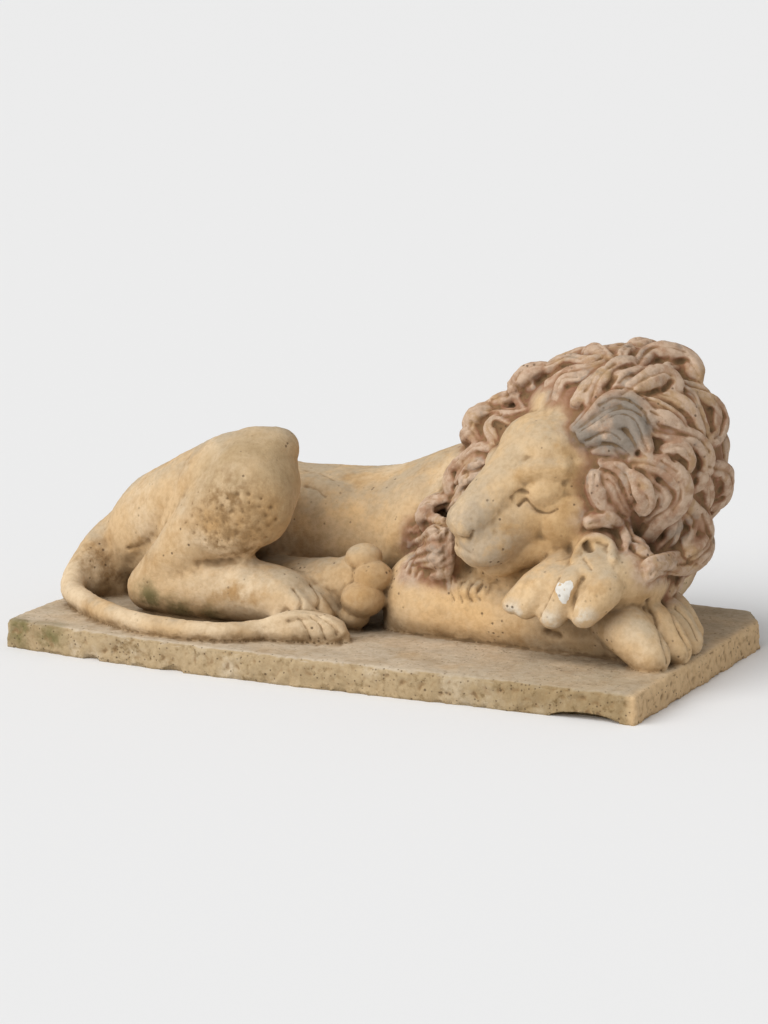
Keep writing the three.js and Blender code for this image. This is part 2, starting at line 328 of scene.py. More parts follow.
# %% Tail
TAIL = [
    (-342, 14, 112, 22),
    (-360, -40, 84, 18),
    (-358, -95, 52, 15),
    (-319, -136, 44, 14),
    (-223, -190, 43, 13),
    (-122, -193, 43, 12),
    (-60, -152, 44, 13),
]
roll(clay, TAIL, sides=20, steps=80, cap=6)
print("tail with", len(TAIL), "stations")

# %% [markdown]
# The near foreleg lies along the slab with its paw at the end. The far one comes round from behind, and
# its paw lies over the near wrist, under the chin. Each toe is a short roll bent over at the knuckle, so
# that the paw reads as four fingers hanging down.

# %% Forelegs
NEAR_ARM = [(62, -24, 66, 60, 54), (140, -30, 64, 54, 52), (220, -38, 60, 47, 46), (300, -41, 57, 44, 41)]
FAR_ARM = [
    (262, 100, 95, 52),
    (284, 40, 96, 44),
    (304, -25, 108, 38),
    (312, -68, 122, 34, 32),
    (282, -92, 126, 38, 28),
]
for limb in (NEAR_ARM, FAR_ARM):
    roll(clay, limb, sides=32, steps=40, cap=10)
ELBOW = [((414, 620, -30), (34, 42, 24))]
PALMS = [((322, -38, 52), (36, 64, 26)), ((285, -78, 96), (34, 24, 18))]
press(ELBOW)
for at, sizes in PALMS:
    lump(clay, at, sizes)
FORE_TOES = 4
for i in range(FORE_TOES):
    y = -96 + 40 * i
    reach = 364 - 6 * (i - 1.5) ** 2
    girth = (27, 24, 21, 18)[i]
    knuckle = (reach - 26, y * 0.9 - 2, 92 - girth, girth)
    roll(details, [(296, y * 0.45 - 24, 76, girth), knuckle, (reach, y, 46, girth - 5)])
UPPER_TOES = [(206, 94, 113, 15), (222, 92, 114, 17), (252, 87, 118, 19), (288, 92, 115, 19)]
for i, (x, low, high, girth) in enumerate(UPPER_TOES):
    knuckle = (x + 18, -116, high, girth)
    roll(details, [(246 + 18 * i, -88, 132 - 2 * i, girth), knuckle, (x, -127, low, girth - 3)])
print("forelegs with", FORE_TOES, "and", len(UPPER_TOES), "toes")

# %% [markdown]
# The head has a frame of its own, because it is tilted and turned: forward along the nose, to the lion's
# left, and up through the crown. In that frame the face is symmetrical, so each cheek, lid and brow is
# made twice by one loop. The eyes are closed: a lid is a low bulge, and its slit is carved later.

# %% Head
SKULL = Vector((230, -10, 218))
FORWARD = Vector((-0.55, -0.72, -0.42)).normalized()
LEFT = UP.cross(FORWARD).normalized()
CROWN = FORWARD.cross(LEFT)
HEAD_TURN = Matrix((FORWARD, LEFT, CROWN)).transposed().to_quaternion()


def in_head(forward, left, up):
    """A point given in the head's own frame."""
    return SKULL + FORWARD * forward + LEFT * left + CROWN * up


def head_path(*stations):
    """Stations of a roll given in the head's own frame."""
    return [(*in_head(*s[:3]), *s[3:]) for s in stations]


lump(details, in_head(0, 0, 5), (80, 74, 78), HEAD_TURN)
lump(details, in_head(30, 0, 40), (44, 60, 44), HEAD_TURN)
muzzle = head_path((22, 0, -6, 66, 58), (70, 0, -6, 52, 46), (108, 0, -6, 40, 41), (126, 0, -6, 33, 37))
bridge = head_path((46, 0, 46, 42, 30), (96, 0, 33, 34, 22), (141, 0, 20, 28, 20))
for form in (muzzle, bridge):
    roll(details, form, CROWN, sides=32, steps=36, cap=10)
lump(details, in_head(114, 0, -40), (32, 28, 20), HEAD_TURN)
lump(details, in_head(132, 0, -14), (30, 30, 26), HEAD_TURN)
for side in (-1, 1):
    lump(details, in_head(40, 42 * side, -22), (46, 32, 40), HEAD_TURN)
    lump(details, in_head(56, 37 * side, 22), (27, 23, 22), HEAD_TURN)
    lump(details, in_head(124, 17 * side, -14), (36, 22, 22), HEAD_TURN)
    brow = head_path((84, 22 * side, 42, 9), (66, 38 * side, 46, 12), (40, 56 * side, 38, 12))
    jaw = head_path((112, 12 * side, -34, 20), (70, 34 * side, -38, 24), (28, 50 * side, -42, 28))
    for form in (brow, jaw):
        roll(details, form, CROWN)
CHEST = ((182, -42, 124), (64, 38, 40))
ROUND_THE_FACE = [
    ((446, 550, -62), (22, 28, 38)),
    ((486, 426, 10), (24, 28, 28)),
    ((464, 480, 8), (19, 44, 28)),
    ((436, 514, -4), (18, 40, 24)),
    ((594, 543, -66), (28, 26, 20)),
]
lump(clay, *CHEST)
press(ROUND_THE_FACE)
print("head at", [round(n) for n in SKULL], "looking along", [round(n, 2) for n in FORWARD])

# %% [markdown]
# The mane is a ball behind the face with a ruff in front of the chest, a crown and a nape. Those masses go
# into the clay now and the locks over them later. A place on the ball is a bearing round the face axis, in
# degrees from the crown towards the lion's left, and a spread, in degrees back from the nose.

# %% Masses under the mane
MANE = Vector((246, 40, 222))
MANE_RADIUS = 118
MANE_BACK = 7
NAPE = Vector((200, 106, 150))
NAPE_SIZES = (112, 78, 108)
RUFF = Vector((160, 24, 178))
RUFF_SIZES = (88, 84, 112)
CREST, CREST_SIZES = (254, 42, 312), (44, 44, 30)
lump(clay, MANE - FORWARD * MANE_BACK, (MANE_RADIUS,) * 3)
lump(clay, RUFF, RUFF_SIZES, Euler((0, math.radians(16), 0)))
lump(clay, CREST, CREST_SIZES)
lump(clay, NAPE, NAPE_SIZES)
press([((668, 548, 30), (42, 44, 36))])


def on_mane(bearing, spread, rise):
    """A point that stands off the mane's ball."""
    b, s = math.radians(bearing), math.radians(spread)
    out = FORWARD * math.cos(s) + (CROWN * math.cos(b) + LEFT * math.sin(b)) * math.sin(s)
    return MANE + out * (MANE_RADIUS + rise)


def out_of_mane(at):
    """The direction away from the middle of the mane."""
    return (at - MANE).normalized()


print("clay heap has", len(clay), "pieces before it is fused")

# %% [markdown]
# The slab is cast with the lion. It starts as a cube cut into strips, whose front edge is bowed out a
# little; the broken far corner is one cut with a plane, and the worn upper edges are bevelled.

# %% Slab
SLAB_LENGTH, SLAB_WIDTH, SLAB_THICK = 760, 412, 32
SLAB_BOW = 20
SLAB_STRIPS = 40
WORN_EDGE = 6
SLAB_SKEW = 1.35


def bowed(share):
    """How far the front edge bows out, in mm, at a share of the slab's length from its middle."""
    return SLAB_BOW * (0.5 - share) * math.cos(math.pi * share) * SLAB_SKEW


slab = bmesh.new()
bmesh.ops.create_cube(slab, size=1)
slab_place = Matrix.LocRotScale(
    Vector((0, 0, SLAB_THICK / 2)) * MM, None, Vector((SLAB_LENGTH, SLAB_WIDTH, SLAB_THICK)) * MM
)
bmesh.ops.transform(slab, matrix=slab_place, verts=slab.verts)
long_edges = [e for e in slab.edges if abs(e.verts[0].co.x - e.verts[1].co.x) > 0.1]
bmesh.ops.subdivide_edges(slab, edges=long_edges, cuts=SLAB_STRIPS, use_grid_fill=True)
for vert in slab.verts:
    if vert.co.y < 0:
        vert.co.y -= bowed(vert.co.x / (SLAB_LENGTH * MM)) * MM
BREAK_AT, BREAK_TOWARDS = Vector((366, 182, 0)), Vector((48, 28, 0))
corner = bmesh.ops.bisect_plane(
    slab,
    geom=slab.verts[:] + slab.edges[:] + slab.faces[:],
    plane_co=BREAK_AT * MM,
    plane_no=BREAK_TOWARDS.normalized(),
    clear_outer=True,
)
open_edges = [e for e in corner["geom_cut"] if isinstance(e, bmesh.types.BMEdge)]
bmesh.ops.contextual_create(slab, geom=open_edges)
rim = [
    e for e in slab.edges
    if len(e.link_faces) == 2 and e.calc_face_angle(0) > 0.6 and max(v.co.z for v in e.verts) > 0.02
]
bmesh.ops.bevel(
    slab, geom=rim, offset=WORN_EDGE * MM, offset_type="OFFSET", segments=3, profile=0.5, affect="EDGES",
    material=-1,
)
print("slab has", len(slab.faces), "faces")
slab_heap = []
settle(slab, slab_heap)

# %% [markdown]
# Fusing turns the pile of lumps into one skin. The Remesh modifier lays a fine grid of voxels over the
# pile and draws its outer surface, and the Smooth modifier then runs a wet thumb over every joint. The big
# masses are fused first and thumbed hard, so that the limbs grow out of the trunk. Toes and face join them
# in a second fusing with a lighter thumb, and the slab waits for the last one, so its edges stay straight.

# %% Fuse the body


def fused(meshes, voxel, passes, name):
    """One skin round all the meshes: joined, remeshed at the voxel size and smoothed."""
    pile = bmesh.new()
    for mesh in meshes:
        pile.from_mesh(mesh, face_normals=False, vertex_normals=False)
        bpy.data.meshes.remove(mesh)
    heap = bpy.data.meshes.new(name + " heap")
    pile.to_mesh(heap)
    pile.free()
    holder = bpy.data.objects.new(name, heap)
    scene.collection.objects.link(holder)
    remesh = holder.modifiers.new("Fuse", "REMESH")
    remesh.mode = "VOXEL"
    remesh.voxel_size = voxel
    remesh.adaptivity = 0
    smooth = holder.modifiers.new("Thumb", "SMOOTH")
    smooth.factor = 0.5
    smooth.iterations = passes
    skin = bpy.data.meshes.new_from_object(holder.evaluated_get(bpy.context.evaluated_depsgraph_get()))
    bpy.data.objects.remove(holder)
    bpy.data.meshes.remove(heap)
    return skin


def tree_of(mesh):
    """A search tree of a mesh, which answers rays."""
    return BVHTree.FromPolygons([v.co for v in mesh.vertices], [p.vertices for p in mesh.polygons])


MASS_VOXEL, MASS_THUMB = 0.004, 16
BODY_VOXEL, BODY_THUMB = 0.0026, 6
masses = fused(clay, MASS_VOXEL, MASS_THUMB, "masses")
mass_tree = tree_of(masses)
body = fused([masses, *details], BODY_VOXEL, BODY_THUMB, "body")
print("body skin has", len(body.vertices), "vertices")

# %% [markdown]
# Hair on a cast lion is never single hairs. It is thick locks that swell from a thin root, wave and run
# out in a point. A lock here is a flat roll that leans to one side, like a shingle, so that one edge stands
# up and throws a shadow on its neighbour. A keel gives it a rounded ridge and a bed fills the air under it.
# The lines of two soft grooves along each lock are remembered, and carved once the stone is one piece.
# Blender's noise vectors start from the clock, so they are given a seed, and every run makes the same hair.

# %% Lock of hair
hair = []
throat = []
strand_lines = []
LOCK_KNOTS = 9
LOCK_FULL = 1.6
LOCK_LEAN = 0.4
WOBBLE_SIZE, WOBBLE, WOBBLE_SEED = 26, 2.2, 7
noise.seed_set(WOBBLE_SEED)


def lock(places, wide, facing, heap=hair, thick=0.56, root=0.5, tip=0.12, lean=LOCK_LEAN):
    """A lock of hair through the places: a leaning flat roll with a keel, on a bed."""
    path = [(*at, 1) for at in places]
    wide *= LOCK_FULL
    core = []
    for i in range(LOCK_KNOTS + 1):
        share = i / LOCK_KNOTS
        at = trace(path, share)[0]
        at += noise.noise_vector(at / WOBBLE_SIZE) * WOBBLE
        swell = min(1, root + 1.5 * share) * (tip + (1 - tip) * math.sqrt(max(0, 1 - share ** 2.4)))
        core.append((*at, wide * swell, wide * swell * thick))
    reach = sum((Vector(b[:3]) - Vector(a[:3])).length for a, b in zip(core, core[1:]))
    steps = max(10, round(reach / 5))
    roll(heap, core, facing, sides=16, steps=steps, cap=3, lean=lean)
    keel, bed, grooves = [], [], ([], [])
    for i in range(LOCK_KNOTS):
        at, run, half, deep = trace(core, i / LOCK_KNOTS)
        across, over = sideways(run, facing, at, lean)
        keel.append((*(at + over * (deep * 0.45)), half * 0.6, deep * 0.85))
        bed.append((*(at - over * deep), half * 1.05, deep))
        for side, groove in zip((-1, 1), grooves):
            drift = 0.42 * side + 0.22 * math.sin(0.6 * i + wide + side)
            groove.append(at + across * (half * drift) + over * (deep * 1.1))
    roll(heap, keel, facing, sides=12, steps=steps, cap=3, lean=lean)
    roll(heap, bed, facing, sides=12, steps=steps, cap=3, lean=lean)
    if heap is not throat:
        strand_lines.append((grooves[0][:6], wide))
        strand_lines.append((grooves[1][2:], wide))


body_tree = tree_of(body)
print("a lock leans by", round(math.degrees(LOCK_LEAN)), "degrees")

# %% [markdown]
# These are the locks on the side that the picture shows: half width in millimetres, then the pixels that
# each one passes, from root to tip. The mane lies on the finished body, and the ruff on the big masses, so
# that its roots go behind the face. Mirror images of the mane's locks dress its hidden side, where the
# picture says nothing.

# %% Traced locks
MANE_LOCKS = [
    (8, (612, 368), (605, 356), (593, 349), (587, 356), (592, 365)),
    (6, (626, 368), (622, 356), (629, 348), (634, 355)),
    (11, (638, 368), (649, 358), (666, 355), (684, 360), (695, 370), (702, 383)),
    (8, (652, 376), (668, 367), (682, 368), (689, 379), (697, 387)),
    (7, (545, 369), (568, 363), (590, 363), (610, 353)),
    (7, (548, 382), (572, 372), (596, 367), (618, 358)),
    (7, (556, 398), (566, 383), (584, 378), (604, 372)),
    (8, (573, 404), (588, 388), (602, 374), (614, 362)),
    (10, (590, 404), (604, 382), (622, 367), (642, 364)),
    (10, (610, 400), (622, 382), (637, 373), (650, 374)),
    (11, (622, 398), (644, 386), (662, 379), (673, 387), (664, 398)),
    (8, (664, 386), (688, 394), (698, 412), (708, 437)),
    (8, (673, 383), (700, 395), (711, 412), (712, 430)),
    (10, (688, 390), (711, 402), (721, 420), (717, 435), (704, 445)),
    (8, (660, 396), (680, 405), (693, 421), (704, 442)),
    (9, (634, 396), (654, 404), (673, 416), (690, 438)),
    (8, (648, 414), (664, 421), (679, 430), (694, 441)),
    (10, (577, 428), (594, 412), (612, 400), (630, 400), (645, 412), (652, 427), (665, 437)),
    (10, (652, 430), (668, 437), (684, 440), (699, 449), (705, 464), (699, 481), (690, 495)),
    (9, (581, 435), (600, 425), (620, 416), (637, 425), (645, 442), (651, 459)),
    (7, (588, 443), (608, 436), (624, 444), (634, 459)),
    (5, (594, 451), (612, 450), (630, 461)),
    (7, (664, 451), (679, 450), (687, 461), (685, 474)),
    (7, (650, 456), (668, 463), (679, 480)),
    (12, (630, 466), (650, 466), (668, 474), (677, 490), (669, 508), (653, 523), (643, 540), (650, 552)),
    (11, (632, 472), (644, 485), (647, 499), (640, 516)),
    (8, (648, 484), (660, 494), (656, 508), (644, 522)),
    (8, (600, 470), (613, 481), (619, 498), (633, 517)),
    (8, (594, 474), (595, 491), (602, 506), (617, 513)),
    (7, (602, 464), (622, 469), (631, 484), (635, 506)),
    (10, (704, 466), (717, 472), (724, 484), (721, 497), (708, 509)),
    (7, (698, 474), (708, 489), (706, 511)),
    (7, (712, 470), (722, 482), (716, 501)),
    (10, (686, 494), (698, 514), (705, 535), (695, 552), (676, 561)),
    (7, (682, 508), (690, 525), (683, 547)),
    (9, (672, 506), (676, 520), (668, 540), (655, 553)),
    (9, (700, 524), (707, 543), (700, 556), (686, 566), (660, 571)),
    (9, (694, 560), (672, 566), (655, 568), (648, 581)),
    (7, (682, 577), (674, 585), (667, 596)),
    (7, (628, 518), (632, 540), (641, 553), (656, 561)),
    (8, (588, 524), (606, 521), (620, 532), (627, 550)),
]
RUFF_LOCKS = [
    (9, (545, 366), (528, 372), (517, 384), (522, 398)),
    (6, (534, 384), (524, 397), (527, 412)),
    (7, (520, 394), (505, 397), (493, 404), (495, 413)),
    (7, (524, 412), (510, 415), (500, 414), (488, 412)),
    (7, (510, 425), (500, 420), (492, 428), (495, 440), (501, 449)),
    (8, (490, 411), (476, 413), (470, 424), (477, 437), (486, 447)),
    (6, (474, 422), (465, 434), (467, 443)),
    (8, (494, 452), (481, 450), (470, 457), (455, 468), (449, 474)),
    (7, (489, 464), (476, 466), (465, 473), (451, 485)),
    (7, (483, 477), (471, 480), (460, 492), (449, 506)),
    (6, (472, 491), (458, 500), (446, 512)),
    (7, (450, 500), (433, 504), (422, 514), (417, 521)),
    (6, (444, 521), (431, 524), (419, 530), (409, 531)),
    (7, (448, 528), (435, 536), (421, 545), (407, 547)),
    (6, (450, 540), (436, 550), (419, 558), (405, 575)),
    (6, (451, 551), (436, 561), (421, 564), (413, 577)),
    (5, (451, 561), (438, 567), (426, 569), (419, 579)),
    (4, (453, 570), (441, 575), (430, 578)),
    (5, (449, 520), (447, 540), (449, 560), (447, 582)),
]
THROAT_LOCKS = [
    (4, (452, 576), (450, 586), (453, 598)),
    (4, (461, 580), (458, 590), (461, 600)),
    (4, (470, 582), (466, 592), (470, 602)),
    (4, (480, 583), (475, 592), (478, 600)),
    (3, (489, 584), (483, 592), (486, 598)),
]
MANE_RISES = (0, 7, 3)
RUFF_RISE, THROAT_RISE = 0, -3


def out_of_ruff(at):
    """The direction away from the middle of the ruff."""
    return (at - RUFF).normalized()


def towards_eye(at):
    """Out of the mane, and leaning to the camera, so that a lock on the outline shows its strands."""
    return (out_of_mane(at) + to_back * 0.7).normalized()


def mirrored(at):
    """A point put on the other side of the head."""
    return at - LEFT * (2 * (at - MANE).dot(LEFT))


far_locks = 0
for i, (wide, *pixels) in enumerate(MANE_LOCKS):
    path = [seen(body_tree, u, v, MANE_RISES[i % 3], out_of_mane) for u, v in pixels]
    lock(path, wide, towards_eye, lean=LOCK_LEAN if i % 2 else -LOCK_LEAN)
    far = [mirrored(at) for at in path]
    if all(out_of_mane(at).dot(to_back) < 0.1 for at in far):
        lock(far, wide, out_of_mane)
        far_locks += 1
for wide, *pixels in RUFF_LOCKS:
    lock([seen(mass_tree, u, v, RUFF_RISE, out_of_ruff) for u, v in pixels], wide, out_of_ruff)
for wide, *pixels in THROAT_LOCKS:
    path = [seen(body_tree, u, v, THROAT_RISE, out_of_ruff) for u, v in pixels]
    lock(path, wide, out_of_ruff, heap=throat, lean=0)
print(len(MANE_LOCKS), "locks on the near side,", far_locks, "on the far side,", len(RUFF_LOCKS), "in ruff")

# %% [markdown]
# The picture doesn't show the back of the mane, so locks are laid round it there in rings that run round
# the face, each lock leaning to one side and then the other. On the side that the picture shows, the ball
# stays bare between the traced locks: it is the floor of the recesses.

# %% Locks on the hidden side
RINGS = [(72, 13), (96, 15), (120, 14), (144, 10), (164, 5)]
HIDDEN_LOCK = 11
hidden_locks = 0
for ring, (spread, count) in enumerate(RINGS):
    for i in range(count):
        bearing = 360 * (i + 0.5 * (ring % 2)) / count
        lean = 10 if (i + ring) % 2 else -8
        reach = 1 / max(math.sin(math.radians(spread)), 0.4)
        path = [(0, -8), (lean * 0.9, 4), (lean * 0.3, 18), (-lean, 32)]
        places = [on_mane(bearing + a * reach, spread + s, 0) for a, s in path]
        if all(out_of_mane(at).dot(to_back) < 0.25 for at in places):
            lock(places, HIDDEN_LOCK, out_of_mane)
            hidden_locks += 1
print("and", hidden_locks, "locks on the hidden side")

# %% [markdown]
# Down the back of the head and of the nape the hair hangs in plain rows. Each row is seated on the ball or
# the nape: at a height on it, the reach of the form gives the distance out.

# %% Nape
NAPE_HAIR = (120, 98, 112)
NAPE_LOCK, NAPE_STEP, NAPE_GAP = 13, 34, 18
NAPE_ROWS = [
    (MANE, (MANE_RADIUS,) * 3, 300, 52, 7),
    (NAPE, NAPE_HAIR, 220, 4, 10),
    (NAPE, NAPE_HAIR, 172, -4, 9),
]
for at, sizes, top, first, count in NAPE_ROWS:
    for i in range(count):
        path = []
        for step in range(4):
            z = top - NAPE_STEP * step
            reach = math.sqrt(1 - ((z - at.z) / sizes[2]) ** 2)
            turn = math.radians(first + NAPE_GAP * i + 6 * math.sin(2 * step + i))
            path.append(Vector((
                at.x + sizes[0] * reach * math.cos(turn), at.y + sizes[1] * reach * math.sin(turn), z
            )))
        lock(path, NAPE_LOCK, lambda p, at=at: Vector((p.x - at.x, p.y - at.y, 0)).normalized())
print("nape has", sum(row[4] for row in NAPE_ROWS), "locks")

# %% [markdown]
# The tuft of the tail is a fat drop with strands drawn along it, and the fold of loose skin at the wrist
# is a small arch of clay under the near cheek.

# %% Tuft and wrist fold
TUFT = [(-70, -160, 44), (-36, -146, 47), (-8, -140, 45), (9, -137, 39)]
TUFT_FACING = Vector((-0.2, -0.6, 0.77))
lock([Vector(at) for at in TUFT], 12, TUFT_FACING, heap=crisp, thick=0.9, root=0.7, tip=0.4, lean=0)
WRIST_FOLD = [(574, 560), (582, 545), (596, 537), (611, 545), (613, 560)]
stations = [(*seen(body_tree, u, v, 1, lambda p: to_back), 5) for u, v in WRIST_FOLD]
roll(crisp, stations, to_back, sides=12, steps=24, cap=4)
print("tuft and wrist fold")

# %% [markdown]
# Now hair, slab and body are fused once more on a finer grid, with only a light thumb. From here on there
# is one skin, held as an array of points, so that grooves and bruises can be pressed into it.

# %% Fuse the stone
STONE_VOXEL = 0.0018
STONE_THUMB = 1
strands = bmesh.new()
for mesh in hair:
    strands.from_mesh(mesh, face_normals=False, vertex_normals=False)
hair_tree = BVHTree.FromBMesh(strands)
strands.free()
stone = fused([body, *slab_heap, *hair, *throat, *crisp], STONE_VOXEL, STONE_THUMB, "stone")


def vectors(mesh, name):
    """The places or the normals of a mesh's points, one row each."""
    flat = np.empty(len(mesh.vertices) * 3, np.float32)
    mesh.vertices.foreach_get(name, flat)
    return flat.reshape(-1, 3).astype(float)


skin = vectors(stone, "co") / MM
normals = vectors(stone, "normal")
stone_object = bpy.data.objects.new("stone", stone)
scene.collection.objects.link(stone_object)
stone_tree = BVHTree.FromObject(stone_object, bpy.context.evaluated_depsgraph_get())
print("stone skin has", len(skin), "vertices")

# %% [markdown]
# Carving is pressing a tool along a path. For each point of the skin the distance to the path decides how
# deep it goes, along its own normal. A negative depth raises a ridge instead.

# %% Carving tool


def carve(path, width, depth):
    """Presses a groove of a width and depth in mm along a path of points."""
    path = np.array([stone_tree.find_nearest(Vector(p) * MM)[0] / MM for p in path])
    low, high = path.min(0) - 3 * width, path.max(0) + 3 * width
    near = np.flatnonzero(((skin > low) & (skin < high)).all(1))
    gap = np.full(len(near), 1e9)
    for a, b in zip(path[:-1], path[1:]):
        run = b - a
        share = np.clip((skin[near] - a) @ run / max(run @ run, 1e-9), 0, 1)
        gap = np.minimum(gap, np.linalg.norm(skin[near] - a - share[:, None] * run, axis=1))
    skin[near] -= normals[near] * (depth * np.exp(-(gap / width) ** 2))[:, None]
    return len(near)


def smooth_path(points, count=24):
    """A smooth line of places through a few points."""
    stations = [(*p, 1) for p in points]
    return [trace(stations, i / count)[0] for i in range(count + 1)]


print("the carving tool can reach", len(skin), "points")

# %% [markdown]
# The grooves that the picture shows are traced like the locks: width and depth in millimetres, then the
# pixels along the groove. They are the lids of the closed eye, the nostril and the lips, the gaps between
# the toes, the creases of the haunch and the cuts in the tail's tuft. The eye and lips are carved on the
# other side of the face too, mirrored. The lines along the locks follow, except where another lock covers
# them.

# %% Carve
FACE_GROOVES = [
    (2.2, 3.6, (519, 505), (525, 500), (531, 505), (538, 511), (547, 513), (557, 509)),
    (2.8, 2.0, (512, 498), (518, 492), (527, 493)),
    (2.8, 3.6, (462, 538), (469, 539), (473, 532)),
    (2.8, 1.2, (455, 544), (464, 550), (473, 556)),
]
GROOVES = [
    (8.0, 3.4, (186, 457), (170, 490), (156, 520), (146, 544), (130, 563)),
    (3.0, 3.0, (128, 549), (138, 547), (146, 542)),
    (5.0, 2.6, (238, 558), (220, 563), (198, 563)),
    (1.6, 1.8, (452, 578), (450, 590), (454, 600)),
    (1.6, 1.8, (462, 582), (459, 592), (462, 602)),
    (1.6, 1.8, (472, 584), (468, 594), (472, 602)),
    (1.6, 1.8, (482, 585), (477, 594), (480, 600)),
    (2.8, 3.2, (539, 616), (546, 602), (552, 589), (558, 578)),
    (2.8, 3.2, (571, 616), (573, 603), (578, 589), (582, 579)),
    (2.8, 4.0, (648, 600), (656, 620), (664, 645), (668, 662)),
    (2.8, 4.0, (663, 603), (676, 621), (686, 641), (690, 657)),
    (2.2, 3.0, (676, 608), (690, 622), (698, 640)),
    (2.4, 2.5, (300, 608), (302, 600), (294, 589)),
    (2.4, 2.5, (318, 608), (320, 598), (311, 585)),
    (1.8, 2.4, (298, 618), (306, 629), (310, 640)),
    (1.8, 2.6, (310, 616), (320, 627), (325, 640)),
    (1.8, 2.6, (318, 615), (330, 624), (337, 636)),
    (9.0, -4.0, (306, 480), (320, 482), (334, 488)),
    (3.0, 1.3, (306, 470), (320, 473), (334, 481)),
    (3.0, 1.5, (306, 477), (318, 480), (331, 488)),
    (3.0, 1.3, (306, 486), (316, 489), (325, 496)),
    (4.0, 6.0, (586, 543), (590, 549)),
    (2.4, 2.4, (583, 558), (591, 569)),
    (5.0, 5.0, (548, 632), (558, 636)),
]
for width, depth, *pixels in FACE_GROOVES + GROOVES:
    line = smooth_path([touched(stone_tree, u, v) for u, v in pixels])
    carve(line, width, depth)
    if (width, depth, *pixels) in FACE_GROOVES:
        carve([mirrored(at) for at in line], width, depth)
STRAND_DEPTH = 0.14
BURIED = 0.004
SHORTEST_LINE = 6
drawn = 0
for marks, wide in strand_lines:
    line = [at for at in smooth_path(marks) if stone_tree.find_nearest(at * MM)[3] < BURIED]
    if len(line) >= SHORTEST_LINE:
        carve(line, 1.3 + 0.07 * wide, STRAND_DEPTH * min(wide, 16))
        drawn += 1
print("carved", len(FACE_GROOVES) + len(GROOVES), "grooves and", drawn, "lines in the hair")

# %% [markdown]
# The calf has a patch where the skin of the casting has gone and the coarse mix shows: a scatter of small
# hollows. They are single presses of the carving tool, spread over the patch by the golden angle, which
# fills a round patch evenly without a random number.

# %% Pitted patch
PATCH_MIDDLE, PATCH_REACH, PATCH_PITS = (230, 518), 38, 58
GOLDEN = math.pi * (3 - math.sqrt(5))
for i in range(PATCH_PITS):
    out = PATCH_REACH * math.sqrt((i + 0.5) / PATCH_PITS)
    u = PATCH_MIDDLE[0] + out * 1.25 * math.cos(GOLDEN * i)
    v = PATCH_MIDDLE[1] + out * math.sin(GOLDEN * i)
    at = touched(stone_tree, u, v)
    carve([at, at], 1.6 + 1.3 * (i * i % 3), 0.8 + 0.5 * (i % 4))
print("pressed", PATCH_PITS, "pits into the calf")

# %% [markdown]
# Pieces have broken off the slab: two notches in its lower front edge, the underside near the front right
# corner, and many small knocks along every edge. A bite is a lump of air: points of the skin inside it are
# pushed out to its surface, which leaves a clean hollow without a boolean.

# %% Bites out of the slab


def bite(at, sizes):
    """Pushes the points inside an ellipsoid out to its surface; returns how many moved."""
    away = (skin - np.array(at)) / np.array(sizes)
    depth = np.linalg.norm(away, axis=1)
    inside = (depth < 1) & (depth > 0)
    skin[inside] = np.array(at) + away[inside] / depth[inside, None] * np.array(sizes)
    return int(inside.sum())


BREAKS = [
    ((-156, -230, -2), (17, 17, 10)),
    ((-262, -219, -2), (12, 13, 8)),
    ((322, -206, -6), (46, 24, 14)),
]
moved = sum(bite(at, sizes) for at, sizes in BREAKS)
KNOCKS = 64
for i in range(KNOCKS):
    x = (SLAB_LENGTH - 40) * ((i + 0.5) / KNOCKS - 0.5) + 5 * math.sin(7.1 * i)
    front = -SLAB_WIDTH / 2 - bowed(x / SLAB_LENGTH)
    girth = 5.5 + 3.2 * math.sin(3.7 * i)
    high = SLAB_THICK + girth * 0.35 if i % 2 else -girth * 0.3
    moved += bite((x, front - girth * 0.45, high), (girth * 1.7, girth, girth * 0.8))
    y = (SLAB_WIDTH - 40) * ((i + 0.5) / KNOCKS - 0.5)
    moved += bite((SLAB_LENGTH / 2 + girth * 0.5, y, high), (girth, girth * 1.5, girth * 0.8))
print("bites moved", moved, "points")

# %% [markdown]
# The stone is not smooth. It is a sandy mix that was rammed into a mould, and it has since lost its skin:
# broad uneven swells, a fine grit, coarse broken faces round the slab and crumbs on the worn calf. Noise at
# several scales moves the skin along its normals. The underside stays flat, because the lion rests on it.

# %% Weathered skin
SWELL_SIZE, SWELL_DEPTH = 42, 1.1
GRIT_SIZE, GRIT_DEPTH = 7, 0.6
EDGE_SIZE, EDGE_DEPTH = 12, 2.2
CRUMB_SIZE, CRUMB_DEPTH = 6, 1.3
CRUMB_REACH, CRUMB_SOFT = 62, 34
UNDERSIDE = 1.5
patch_middle = np.array(touched(stone_tree, *PATCH_MIDDLE))
patch_share = np.clip((CRUMB_REACH - np.linalg.norm(skin - patch_middle, axis=1)) / CRUMB_SOFT, 0, 1)
slab_share = np.clip((SLAB_THICK + 1.5 - skin[:, 2]) / 3, 0, 1)
side_share = slab_share * (np.abs(normals[:, 2]) < 0.75)
push = np.empty(len(skin))
for i, spot in enumerate(skin):
    at = Vector(spot)
    push[i] = SWELL_DEPTH * noise.noise(at / SWELL_SIZE) + GRIT_DEPTH * noise.noise(at / GRIT_SIZE)
    if side_share[i]:
        push[i] += EDGE_DEPTH * (noise.noise(at / EDGE_SIZE) - 0.35)
    crumbs = max(patch_share[i], side_share[i])
    if crumbs:
        push[i] += crumbs * CRUMB_DEPTH * noise.noise(at / CRUMB_SIZE)
skin += normals * push[:, None]
skin[skin[:, 2] < UNDERSIDE, 2] = 0
print("skin moved by up to", round(float(np.abs(push).max()), 2), "mm")

# %% [markdown]
# The skin is now far denser than it needs to be on the flat parts. The Decimate modifier collapses the
# edges that matter least, and keeps the hair and the face fine.

